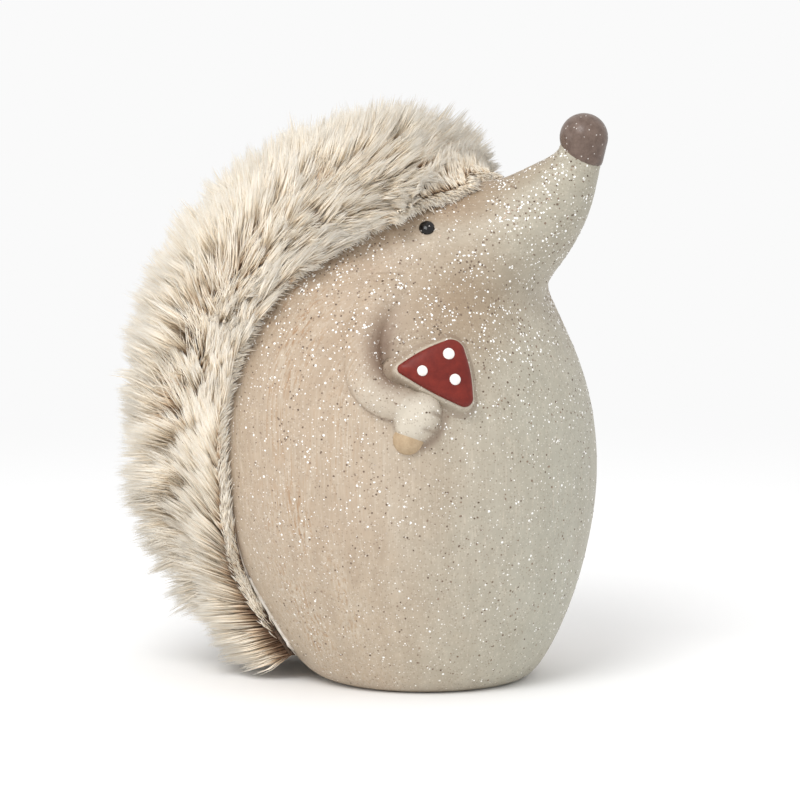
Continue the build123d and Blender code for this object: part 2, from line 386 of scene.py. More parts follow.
def body_paint():
    """Brushed stone-coloured paint: warm on the flank, greyer to the front, with brown washes and painted
    shade in the hollows.
    """
    material, tree, shader = new_material("Body paint", 0.5, specular=0.35)
    place = object_place(tree)
    x, y, z = axes(place)
    strokes, = placed(tree, brush_lines, 1.5, 22.0)
    wide, = placed(tree, brush_lines, 0.16, 9.0)
    cloud = noise(place, 0.045, 3, 0.55)
    mottle = noise(place, 0.35, 4, 0.6)
    warm = ramp(
        wide, (0.3, (0.410, 0.318, 0.232)), (0.5, (0.455, 0.364, 0.273)), (0.7, (0.490, 0.405, 0.313)),
    )
    cool = ramp(wide, (0.3, (0.383, 0.363, 0.294)), (0.7, (0.430, 0.413, 0.343)))
    base = mixed(eased(y + cloud * 18, 12, -40), warm, cool)

    on_flank = clamped(1.1 - abs((y - 14) / 24))
    tan_lines = ramp(strokes, (0.46, 0), (0.64, 1)) * eased(wide, 0.42, 0.66, 0.12, 0.85)
    base = mixed(clamped(tan_lines * on_flank), base, (0.345, 0.205, 0.105))
    base = mixed(ramp(strokes, (0.28, 0.30), (0.44, 0)), base, (0.66, 0.58, 0.475))

    # Painted shade under the cheek and chin, partly brown paint, and darker paint on the head's upward
    # faces.
    chest = node("CombineXYZ", 0, {0: (abs(x) - 24) / 26, 1: (y + 22) / 21, 2: (z - 97) / 22})
    shade_under_cheek = ramp(far_off(chest) + cloud * 0.3, (0.35, 1), (1.0, 0))
    upward = axes(node("TexCoord", "Normal", tree=tree))[2]
    ridge = ramp(upward, (0.55, 0), (0.9, 1)) * ramp(z / 150, (0.72, 0), (0.80, 1))
    high = ramp((z + cloud * 14) / 120, (0.62, 0), (0.84, 1))
    low = ramp(z / 100, (0.12, 1), (0.45, 0))
    base = mixed(low, base, (1.05, 1.085, 1.10), "MULTIPLY")
    base = mixed(high, base, (0.94, 0.92, 0.90), "MULTIPLY")
    base = mixed(maths("MAXIMUM", shade_under_cheek, ridge), base, (0.82, 0.735, 0.66), "MULTIPLY")
    base = mixed(1.0, base, ramp(mottle, (0.3, 0.93), (0.7, 1.04)), "MULTIPLY")

    base = mixed(attribute(tree, "pale"), base, mixed(mottle, (0.50, 0.445, 0.355), (0.66, 0.61, 0.52)))
    # Brown washes with painted shade: the hollow and finger creases darkened, and painted shadow lines
    # under the forearm, beside the paw and round the toadstool's rim.
    wash_and_shade = clamped(attribute(tree, "wash_and_shade") * ramp(mottle, (0.25, 0.75), (0.7, 1.1)))
    base = mixed(wash_and_shade, base, (0.195, 0.130, 0.092))

    sand, sand_tone = placed(tree, dust, 1.7, 0.36, 0.6)
    sand_colour = ramp(sand_tone, (0.50, (0.19, 0.13, 0.09)), (0.60, (0.68, 0.62, 0.53)))
    base = mixed(sand * 0.32, base, sand_colour)
    # Fine glitter: the pale grains are painted glints, the dark ones painted dark reflections.
    glint_dust, _ = placed(tree, dust, 1.15, 0.2, 0.20)
    dark_reflection_dust, _ = placed(tree, dust, 0.95, 0.18, 0.14)
    base = mixed(glint_dust * 0.75, base, (0.92, 0.89, 0.84))
    base = mixed(dark_reflection_dust * 0.7, base, (0.20, 0.14, 0.10))
    rough = ramp(mottle, (0.3, 0.44), (0.7, 0.58)) - glint_dust * 0.25
    height = strokes * 0.55 + mottle * 0.3 + (glint_dust + dark_reflection_dust) * 0.5
    surfaced(shader, base, rough, height, 0.12 * mm, 0.7)
    return material


def dabbed_paint(name, dark, light, roughness, coat, grain=0.5, glint_share=0.0):
    """Paint put on with a small brush: two close tones, faint ridges and a few pale grains of glitter
    painted as glints.
    """
    material, tree, shader = new_material(name, roughness, coat, 0.18, 0.3)
    place = object_place(tree)
    tone = noise(place, grain, 4, 0.6)
    fine = noise(place, grain * 5, 3, 0.6)
    colour = ramp(tone, (0.32, dark), (0.68, light))
    colour = mixed(1.0, colour, ramp(fine, (0.3, 0.92), (0.7, 1.06)), "MULTIPLY")
    # Pale grains of glitter, painted as glints.
    if glint_share:
        grains, _ = placed(tree, dust, 1.1, 0.2, glint_share)
        colour = mixed(grains * 0.6, colour, (0.75, 0.70, 0.66))
    rough = ramp(fine, (0.3, roughness * 0.85), (0.7, roughness * 1.2))
    surfaced(shader, colour, rough, tone + fine * 0.4, 0.08 * mm, 0.6)
    return material


def fur_fibre():
    """Long pile: dark brown at the root, then fawn, and cream to the tip. U picks one of many tints."""
    material, tree, shader = new_material("Fur fibre", 0.62, specular=0.25)
    u, v, _ = axes(node("UVMap", 0, None, {"uv_map": "OFBake"}, tree))
    column = maths("FLOOR", u * strand_columns)
    chance = node("TexWhiteNoise", 0, {"W": column}, {"noise_dimensions": "1D"})
    colour = ramp(
        v + (chance - 0.5) * 0.16,
        (0.0, (0.12, 0.068, 0.040)), (0.20, (0.24, 0.150, 0.095)), (0.34, (0.66, 0.51, 0.36)),
        (0.46, (0.95, 0.86, 0.72)), (0.75, (0.985, 0.925, 0.82)), (1.0, (0.99, 0.955, 0.88)),
    )
    tint = ramp(chance, (0.0, (0.84, 0.77, 0.68)), (0.3, (0.97, 0.94, 0.90)), (1.0, (1.0, 1.0, 1.0)))
    surfaced(shader, mixed(1.0, colour, tint, "MULTIPLY"), ramp(v, (0.0, 0.75), (1.0, 0.5)))
    return material


def backing_knit():
    """The brown knitted ground of the fur, with its courses."""
    material, tree, shader = new_material("Backing knit", 0.85)
    place = object_place(tree)
    loops = node("TexVoronoi", 0, {"Vector": place, "Scale": 1.4}, {"feature": "F1"})
    colour = ramp(noise(place, 0.6, 3, 0.6), (0.3, (0.085, 0.055, 0.037)), (0.7, (0.16, 0.105, 0.07)))
    colour = mixed(1.0, colour, ramp(loops, (0.0, 1.0), (0.8, 0.55)), "MULTIPLY")
    surfaced(shader, colour, ramp(loops, (0.0, 0.75), (0.8, 0.95)), loops, 0.3 * mm, 0.8)
    return material


def dried_glue():
    """Glue that has dried whitish under the rump, and higher up is painted brown as the shadow under the
    fur's edge.
    """
    material, tree, shader = new_material("Dried glue", 0.5, specular=0.3)
    place = object_place(tree)
    tone = noise(place, 0.5, 4, 0.65)
    fine = noise(place, 2.6, 3, 0.6)
    pale = ramp(tone, (0.3, (0.52, 0.45, 0.37)), (0.55, (0.68, 0.63, 0.57)), (0.75, (0.78, 0.75, 0.70)))
    brown = ramp(tone, (0.3, (0.20, 0.14, 0.095)), (0.7, (0.33, 0.245, 0.17)))
    # Brown higher up: a painted shadow under the edge of the fur.
    edge_shadow = ramp((axes(place)[2] + tone * 12) / 100, (0.34, 0), (0.44, 1))
    rough = ramp(fine, (0.3, 0.35), (0.7, 0.6))
    surfaced(shader, mixed(edge_shadow, pale, brown), rough, fine, 0.15 * mm, 0.8)
    return material


def flake_foil(name, dark, light, metallic, roughness):
    """Glitter flakes, each a little different in tone."""
    material, tree, shader = new_material(name, roughness, metallic=metallic)
    colour = node("TexVoronoi", "Color", {"Vector": object_place(tree), "Scale": 0.8})
    surfaced(shader, ramp(node("SeparateColor", 0, {0: colour}), (0.0, dark), (1.0, light)))
    return material


# Making pieces

def to_mesh(name, form):
    mesh = bpy.data.meshes.new(name)
    form.to_mesh(mesh)
    form.free()
    return mesh


def piece(name, form, material, slot, *nodes):
    """A finished form or mesh becomes a named piece, in place of these CAD nodes."""
    mesh = to_mesh(name, form) if isinstance(form, bmesh.types.BMesh) else form
    made = bpy.data.objects.new(name, mesh)
    bpy.context.scene.collection.objects.link(made)
    mesh.materials.clear()
    mesh.materials.append(material)
    mesh.shade_smooth()
    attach(made, "root")
    if nodes:
        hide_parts(*nodes)
    return made


def merged_nodes(*names):
    """Copies of CAD nodes in one form, each with its loose triangles joined."""
    whole = bmesh.new()
    for name in names:
        part = bmesh.new()
        part.from_mesh(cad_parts[name].data)
        bmesh.ops.remove_doubles(part, verts=part.verts, dist=weld)
        mesh = to_mesh(name + "_copy", part)
        whole.from_mesh(mesh)
        bpy.data.meshes.remove(mesh)
    return whole


def remeshed(form, voxel):
    """The skin of a form as even squares of this size."""
    source = bpy.data.objects.new("form", to_mesh("form", form))
    bpy.context.scene.collection.objects.link(source)
    modifier = source.modifiers.new("squares", "REMESH")
    modifier.mode = "VOXEL"
    modifier.voxel_size = voxel
    graph = bpy.context.evaluated_depsgraph_get()
    mesh = bpy.data.meshes.new_from_object(source.evaluated_get(graph))
    bpy.data.objects.remove(source)
    even = bmesh.new()
    even.from_mesh(mesh)
    bpy.data.meshes.remove(mesh)
    return even


def smoothed(form, rounds, verts=None):
    for _ in range(rounds):
        bmesh.ops.smooth_vert(
            form, verts=verts or form.verts, factor=0.5, use_axis_x=True, use_axis_y=True, use_axis_z=True,
        )


def casting_form():
    """The body with the nose's core, as one even skin."""
    rough = merged_nodes("body_shell", "nose_tip")
    surface = BVHTree.FromBMesh(rough)
    even = remeshed(rough, casting_voxel)
    smoothed(even, 2)
    for vert in even.verts:
        vert.co = surface.find_nearest(vert.co)[0]
    smoothed(even, casting_smoothing)
    for vert in even.verts:
        vert.co.z = max(vert.co.z, 0)
    return even


def nose_form():
    """The nose's coat of paint, a little proud of the core."""
    even = remeshed(merged_nodes("nose_tip"), nose_voxel)
    smoothed(even, nose_smoothing)
    even.normal_update()
    for vert in even.verts:
        vert.co += vert.normal * nose_paint_film
    return even


casting_core = casting_form()
casting_tree = BVHTree.FromBMesh(casting_core)


def skin_way(place):
    """The way out of the body's skin nearest to a place."""
    return np.array(casting_tree.find_nearest(Vector(place))[1])


def side_place(y, z, side):
    """A place on the body seen square from the side, before anything was pressed into it, and the way
    out there. Lengths are in millimetres, and off the body both are None."""
    point, way, _, _ = casting_tree.ray_cast(Vector((side_reach, y, z)) * mm, Vector((-1, 0, 0)))
    if point is None:
        return None, None
    return np.array(point) * [side, 1, 1] / mm, np.array(way) * [side, 1, 1]


def smooth_line(rows, count):
    """Rows of numbers as a smooth run of this many rows: each stretch is a cubic through its ends."""
    rows = np.array(rows, float)
    padded = np.vstack([2 * rows[0] - rows[1], rows, 2 * rows[-1] - rows[-2]])
    places = np.linspace(0, len(rows) - 1 - 1e-6, count)
    index = places.astype(int)
    t = (places - index)[:, None]
    a, b, c, d = (padded[index + k] for k in range(4))
    return (
        b + (c - a) * t / 2 + (2 * a - 5 * b + 4 * c - d) * t ** 2 / 2
        + (3 * b - a - 3 * c + d) * t ** 3 / 2
    )


def beside_line(points, places, profile, side):
    """Each point's distance from a line over the body's side, how far down the line its nearest place
    is, from 0 to 1, that place's height, and its row of the profile."""
    line = np.array([side_place(y, z, side)[0] for y, z in smooth_line(places, line_samples)])
    gaps = np.linalg.norm(points[:, None] - line, axis=2)
    at = gaps.argmin(axis=1)
    return gaps.min(axis=1), at / line_samples, line[at, 2], *smooth_line(profile, line_samples)[at].T


# The toadstool's own frame: along its base, towards its apex, and out of the body
cap_origin, cap_out = side_place(*cap_place, -1)
level = unit(np.cross([0, 0, 1], cap_out))
cap_along = level * cos(cap_tilt) + np.cross(cap_out, level) * sin(cap_tilt)
cap_up = np.cross(cap_out, cap_along)


def bumps(points, side, holds_toadstool):
    """How far the arm and paw stand proud at each point, how much of the brown washes and painted
    shade lies there, and how much pale paint."""
    gap, down, arm_height, radius, proud, fillet = beside_line(points, arm_line, arm_profile, side)
    inside = np.sqrt(np.maximum(radius ** 2 - gap ** 2, 0))
    limb = proud - radius + inside - 1.2 * np.maximum(gap - radius, 0)

    centre, outwards = side_place(*paw_place, side)
    up = flattened(cap_up * [-side, 1, 1], outwards)
    over = np.cross(up, outwards)
    lengthwise = (points - centre) @ up
    widthwise = (points - centre) @ over
    egg = 1 - (lengthwise / paw_half_length) ** 2 - (widthwise / paw_half_width) ** 2
    paw = -paw_sink + paw_rise * np.sqrt(np.maximum(egg, 0)) + 3.0 * np.minimum(egg, 0)
    frontwards = -np.sign(over[1]) * widthwise / paw_half_width
    creases = np.zeros(len(points))
    for level, depth in finger_creases:
        line = np.exp(-((lengthwise - level - 0.9 * np.clip(frontwards, -1, 1)) / 0.5) ** 2)
        creases = np.maximum(creases, depth * line * smooth_step(0.2, 0.5, frontwards))
    paw = paw - creases

    base = np.zeros(len(points))
    # Brown washes and painted shade in the finger creases.
    wash_and_shade = 0.8 * creases * (egg > -0.1)
    if holds_toadstool:
        hollow_gap, _, _, width, depth = beside_line(points, hollow_line, hollow_profile, side)
        base = -depth * np.clip(1 - (hollow_gap / width) ** 2, 0, 1) ** 2
        # The hollow's brown washes, darkened with its depth as painted shade.
        wash_and_shade = np.maximum(wash_and_shade, np.clip(depth / 1.2, 0, 1) * np.exp(-(hollow_gap / 3.7) ** 2))
        # A painted shadow beside the paw, on its front side.
        paw_shadow = np.exp(-((egg + 0.35) / 0.45) ** 2) * smooth_step(0.2, 0.8, frontwards)
        wash_and_shade = np.maximum(wash_and_shade, 0.6 * paw_shadow)
    raised = smooth_max(limb, paw, 0.9)
    height = smooth_max(base, raised, np.where(paw > limb, 0.45, fillet))
    # A painted shadow line along the foot of the raised forearm and paw, under the elbow and wrist.
    shadow_line = np.exp(-((raised - base) / 0.9) ** 2) * (raised < base + 1.2)
    shadow_line = shadow_line * smooth_step(0.45, 0.8, down) * (points[:, 2] < arm_height + 2.5)
    wash_and_shade = np.maximum(wash_and_shade, 0.7 * shadow_line)
    forearm = smooth_step(0.5, 0.85, down) * smooth_step(-0.6, 0.9, limb - base)
    pale = np.maximum(0.4 * forearm, 0.85 * smooth_step(-0.15, 0.25, egg))
    # On the paw's front side the pale paint gives way to painted shade.
    pale = pale * (1 - 0.75 * smooth_step(0.1, 0.9, frontwards) * (egg > -0.2))
    return height, wash_and_shade, pale


def tinted(form, wash_and_shade, pale):
    """Gives each of a form's corners its share of brown washes with painted shade, and of pale paint."""
    for name, shares in (("wash_and_shade", wash_and_shade), ("pale", pale)):
        layer = form.verts.layers.float.new(name)
        for vert, share in zip(form.verts, shares):
            vert[layer] = float(share)


def relief(side, holds_toadstool):
    """An arm in low relief. Round it the patch lies flush on the body, and its rim sinks in."""
    spans = relief_high - relief_low
    columns = int(spans.x / relief_step)
    rows = int(spans.y / relief_step)
    form = bmesh.new()
    bmesh.ops.create_grid(form, x_segments=columns, y_segments=rows, size=0.5)
    middle = (relief_low + relief_high) / 2
    missed = []
    for vert in form.verts:
        point, _ = side_place(middle.x + vert.co.x * spans.x, middle.y + vert.co.y * spans.y, side)
        if point is None:
            missed.append(vert)
        else:
            vert.co = Vector(point) * mm
    bmesh.ops.delete(form, geom=missed, context="VERTS")
    inner = [vert for vert in form.verts if not vert.is_boundary]
    smoothed(form, relief_smoothing, inner)
    form.normal_update()
    form.verts.ensure_lookup_table()
    if form.verts[0].normal.x * side < 0:
        bmesh.ops.reverse_faces(form, faces=form.faces)
        form.normal_update()
    points = np.array([vert.co for vert in form.verts]) / mm
    height, wash_and_shade, pale = bumps(points, side, holds_toadstool)
    rim = np.array([vert.co for vert in form.verts if vert.is_boundary]) / mm
    _, inwards = nearest(points, rim)
    film = relief_film - (relief_film + relief_sink) * (1 - smooth_step(0, relief_margin, inwards))
    for vert, rise, lift in zip(form.verts, height, film):
        vert.co += vert.normal * (rise + lift) * mm
    tinted(form, wash_and_shade, pale)
    bmesh.ops.solidify(form, geom=form.faces[:], thickness=relief_thickness * mm)
    form.normal_update()
    return form


def ringed(rings):
    """A closed form with its skin drawn through rings of points. It ends in the last ring's middle."""
    form = bmesh.new()
    count = len(rings[0])
    bmesh.ops.create_circle(form, segments=count, radius=1)
    current = list(form.verts)
    for vert, point in zip(current, rings[0]):
        vert.co = Vector(point) * mm
    edges = list(form.edges)
    bmesh.ops.contextual_create(form, geom=edges)
    for ring in rings[1:]:
        made = bmesh.ops.extrude_edge_only(form, edges=edges)["geom"]
        edges = [part for part in made if isinstance(part, bmesh.types.BMEdge)]
        new_verts = {part for part in made if isinstance(part, bmesh.types.BMVert)}
        following = []
        for vert in current:
            others = (edge.other_vert(vert) for edge in vert.link_edges)
            following.append(next(other for other in others if other in new_verts))
        for vert, point in zip(following, ring):
            vert.co = Vector(point) * mm
        current = following
    middle = sum((vert.co for vert in current), Vector()) / count
    bmesh.ops.pointmerge(form, verts=current, merge_co=middle)
    bmesh.ops.recalc_face_normals(form, faces=form.faces)
    return form


def cap_outline(growth):
    """Points round the cap's edge, grown outwards: a triangle with round corners and full sides."""
    top = cap_base + cap_height
    corners = np.array([(-cap_width / 2, cap_base), (cap_width / 2, cap_base), (cap_apex, top)])
    ways = unit(np.roll(corners, -1, axis=0) - corners)
    outwards = np.stack([ways[:, 1], -ways[:, 0]], axis=1)
    halves = np.arccos(-np.sum(ways * np.roll(ways, 1, axis=0), axis=1)) / 2
    per_corner = cap_points // 6
    shares = np.arange(1, per_corner + 1)[:, None] / (per_corner + 1)
    points = []
    for i, radius in enumerate(cap_corner_radii):
        centre = corners[i] + unit(ways[i] - ways[i - 1]) * radius / sin(halves[i])
        turns = np.linspace(0, pi - 2 * halves[i], per_corner)[:, None]
        round_corner = outwards[i - 1] * np.cos(turns) + ways[i - 1] * np.sin(turns)
        points += list(centre + round_corner * (radius + growth))
        after = (i + 1) % 3
        reach = cap_corner_radii[after] / np.tan(halves[after])
        arrive = corners[after] - ways[i] * reach + outwards[i] * growth
        swell = outwards[i] * cap_bulge * np.sin(pi * shares)
        points += list(points[-1] + (arrive - points[-1]) * shares + swell)
    return np.array(points)


def cap_point(flat, lift):
    """The place in space of a flat place on the toadstool and its height over the toadstool's plane."""
    return cap_origin + cap_along * flat[0] + cap_up * flat[1] + cap_out * lift


def skin_lift(flat):
    """How high the body's surface stands over the toadstool's own plane at a place."""
    mirror = np.array([-1, 1, 1])
    start = cap_point(flat, cap_reach) * mirror * mm
    _, _, _, depth = casting_tree.ray_cast(Vector(start), Vector(-cap_out * mirror))
    return cap_reach - depth / mm


def cap_ring(scale, growth, lift, follow, wobble):
    """A ring of the toadstool: follow is how far it bends with the body's surface."""
    ring = []
    for i, flat in enumerate(cap_outline(growth)):
        flat = cap_middle + (flat - cap_middle) * scale
        turn = 2 * pi * i / cap_points
        rise = wobble * (sin(3 * turn + 1) + 0.6 * sin(7 * turn))
        ring.append(cap_point(flat, lift + rise + follow * skin_lift(flat)))
    return ring


def cap_form():
    """The red top: a soft cushion of slip with a rolled edge."""
    profile = [
        (0.90, 2.4), (0.97, 2.6), (1.0, 2.95), (1.008, 3.3), (1.0, 3.68), (0.98, 4.0), (0.94, 4.28),
        (0.87, 4.52), (0.76, 4.74), (0.62, 4.92), (0.46, 5.05), (0.30, 5.13), (0.14, 5.17),
    ]
    return ringed([cap_ring(scale, 0, lift, 0.55, 0.03) for scale, lift in profile])


def gills_form():
    """The pale underside: it flares into the body and shows as a rim round the red."""
    profile = [
        (1, 3.0, -0.5, 1.0), (1, 2.3, 0.03, 1.0), (1, 1.6, 0.25, 0.95), (1, 1.1, 0.8, 0.85),
        (1, 0.8, 1.5, 0.7), (1, 0.66, 2.2, 0.6), (1, 0.5, 2.7, 0.55), (1, 0.2, 2.95, 0.55),
        (0.97, 0, 3.0, 0.55), (0.85, 0, 2.9, 0.55), (0.5, 0, 2.9, 0.55), (0.2, 0, 2.9, 0.55),
    ]
    form = ringed([cap_ring(*place, 0.04) for place in profile])
    growths = [profile[min(i // cap_points, len(profile) - 1)][1] for i in range(len(form.verts))]
    # A painted shadow line round the outer foot of the rim, outside its pale edge.
    wash_and_shade = np.interp(growths, [0.7, 1.2, 2.2, 3.0], [0.05, 0.45, 0.45, 0.0])
    tinted(form, wash_and_shade, np.interp(growths, [0.6, 1.0], [0.35, 0.0]))
    return form


def round_ring(centre, first, second, radius, count):
    """A ring of points round a centre, in the plane of two directions."""
    turns = [2 * pi * i / count for i in range(count)]
    return [centre + (first * cos(t) + second * sin(t)) * radius for t in turns]


def turned(foot, way, first, second, profile, count=ring_points):
    """A form turned about an axis. Its profile is pairs of a radius and a height over its foot."""
    return ringed([round_ring(foot + way * lift, first, second, radius, count) for radius, lift in profile])


def spot_form(flat, radius):
    """A raised round dab of white."""
    start = cap_point(flat, cap_reach)
    _, _, _, depth = cap_tree.ray_cast(Vector(start) * mm, Vector(-cap_out))
    foot = cap_point(flat, cap_reach - depth / mm)
    profile = [(0.9, -0.5), (1.0, -0.1), (1.0, 0.08), (0.93, 0.22), (0.78, 0.33), (0.5, 0.40), (0.22, 0.43)]
    profile = [(radius * share, lift) for share, lift in profile]
    return turned(foot, cap_out, cap_along, cap_up, profile, 28)


def stalk_form():
    """The stalk, hidden in the paw, and the round tan foot that shows below it."""
    foot, foot_out = side_place(*bulb_place, -1)
    foot = foot + foot_out * (bulb_proud - bulb_radius)
    top = cap_point((0, cap_base + 1), 0.8)
    way = unit(top - foot)
    length = float(np.linalg.norm(top - foot))
    first = unit(np.cross(way, cap_out))
    turns = [radians(-90 + 9.025 * k) for k in range(1, 11)]
    profile = [(cos(turn) * bulb_radius, sin(turn) * bulb_radius) for turn in turns]
    profile += [(radius, length * share) for radius, share in stem_profile]
    return turned(foot, way, first, np.cross(way, first), profile)


def eye_form(side):
    """A bead of black glaze seated in the cheek."""
    centre, outwards = side_place(*eye_place, side)
    first = unit(np.cross([0, 0, 1], outwards))
    profile = [
        (0.86, -0.6), (0.98, -0.15), (1.0, 0.08), (0.97, 0.3), (0.88, 0.58), (0.72, 0.83), (0.5, 1.02),
        (0.25, 1.12),
    ]
    profile = [(eye_radius * share, lift) for share, lift in profile]
    return turned(centre, outwards, first, np.cross(outwards, first), profile)


paint = body_paint()
casting = piece("casting", casting_core, paint, "painted_body", "body_shell")
nose_paint = dabbed_paint("Nose paint", (0.105, 0.070, 0.055), (0.165, 0.116, 0.093), 0.36, 0.1, 0.6, 0.35)
piece("nose_tip_paint", nose_form(), nose_paint, "nose_paint", "nose_tip")
right_arm = piece("arm_right_relief", relief(-1, True), paint, "painted_body", "arm_right")
left_arm = piece("arm_left_relief", relief(1, False), paint, "painted_body", "arm_left")
gills = piece("mushroom_gills_rim", gills_form(), paint, "painted_body", "mushroom_gills")
cap_red = dabbed_paint("Cap red", (0.125, 0.009, 0.005), (0.185, 0.018, 0.010), 0.42, 0.0, 0.35)
cap_core = cap_form()
cap_tree = BVHTree.FromBMesh(cap_core)
cap = piece("mushroom_cap_top", cap_core, cap_red, "cap_paint", "mushroom_cap")
stalk_tan = dabbed_paint("Stalk tan", (0.385, 0.275, 0.168), (0.48, 0.36, 0.228), 0.45, 0.0, 0.5)
piece("mushroom_stalk_foot", stalk_form(), stalk_tan, "stalk_paint", "mushroom_stalk")
spot_white = dabbed_paint("Spot white", (0.74, 0.70, 0.66), (0.86, 0.84, 0.81), 0.4, 0.2, 0.9)
for number, spot in enumerate(spots, 1):
    piece(f"cap_dab_{number}", spot_form(*spot), spot_white, "spot_paint", f"cap_spot_{number}")
eye_black = dabbed_paint("Eye black", (0.008, 0.007, 0.007), (0.016, 0.014, 0.013), 0.1, 0.0, 0.8, 0.3)
for side, label in ((-1, "right"), (1, "left")):
    piece(f"eye_{label}_bead", eye_form(side), eye_black, "eye_enamel", f"eye_{label}")


# Fur

def corner_points(mesh):
    """A mesh's triangles as an array of corners, in metres."""
    mesh.calc_loop_triangles()
    places = np.array([vert.co for vert in mesh.vertices])
    return places[np.array([face.vertices for face in mesh.loop_triangles])]


def scattered(corners, count):
    """Points spread evenly over triangles, and the normal at each."""
    cross = np.cross(corners[:, 1] - corners[:, 0], corners[:, 2] - corners[:, 0])
    areas = np.linalg.norm(cross, axis=1)
    chosen = rng.choice(len(corners), count, p=areas / areas.sum())
    first, second = rng.random(count), rng.random(count)
    folded = first + second > 1
    first[folded], second[folded] = 1 - first[folded], 1 - second[folded]
    picked = corners[chosen]
    points = (
        picked[:, 0] + (picked[:, 1] - picked[:, 0]) * first[:, None]
        + (picked[:, 2] - picked[:, 0]) * second[:, None]
    )
    return points, unit(cross[chosen])


def backing_ground():
    """The fur's ground: the triangles of its outside, and points all along its cut edge."""
    corners = corner_points(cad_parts["fur_backing"].data)
    normals = unit(np.cross(corners[:, 1] - corners[:, 0], corners[:, 2] - corners[:, 0]))
    centres = corners.mean(axis=1)
    facing = np.sum(normals * [skin_way(centre) for centre in centres], axis=1)
    least_facing = np.where(centres[:, 1] < brow_start * mm, brow_slope, side_slope)
    form = merged_nodes("fur_backing")
    form.normal_update()
    edge = []
    for line in form.edges:
        start, end = (vert.co for vert in line.verts)
        way = skin_way((start + end) / 2)
        slopes = sorted(abs(face.normal.dot(way)) for face in line.link_faces)
        on_brow = start.y < brow_start * mm
        cut = slopes[0] < cut_slope and slopes[-1] > (brow_slope if on_brow else side_slope)
        if len(slopes) == 2 and (cut or on_brow and line.calc_face_angle(0) > cut_angle):
            steps = int((end - start).length / (edge_step * mm)) + 1
            edge += [start.lerp(end, (k + 0.5) / steps) for k in range(steps)]
    form.free()
    return corners[facing > least_facing], np.array(edge)


def spaced_centres(points, spacing):
    """Some of these points, none nearer to another than this spacing."""
    cell = spacing / 1.3
    kept = {}
    for i, key in enumerate(map(tuple, np.floor(points / cell).astype(int))):
        kept.setdefault(key, i)
    return points[sorted(kept.values())]


def by_member(values, member, count):
    """The mean of some vectors over the members of each group."""
    sizes = np.maximum(np.bincount(member, minlength=count), 1)
    sums = [np.bincount(member, values[:, axis], count) for axis in range(values.shape[1])]
    return np.stack(sums, axis=1) / sizes[:, None]


def turn_round(points):
    """How far round the strip each point is, in degrees."""
    y, z = points[:, 1] - nap_centre[0] * mm, points[:, 2] - nap_centre[1] * mm
    return np.degrees(np.arctan2(y, -z)) % 360


def nap_ways(roots, normals, to_edge):
    """The way the nap runs at each root, up the back and forward over the head, the way that leads
    over the cut edge, and how far round the strip the root is."""
    turn = turn_round(roots)
    angle = np.radians(turn)
    along = np.stack([0 * angle, np.cos(angle), np.sin(angle)], axis=1)
    ends = np.maximum(1 - smooth_step(24, 34, turn), smooth_step(178, 188, turn))[:, None]
    sideways = np.sign(roots[:, :1]) * [1, 0, 0]
    over = sideways * (1 - ends) + unit(to_edge) * ends
    return flattened(along, normals), flattened(over, normals), turn


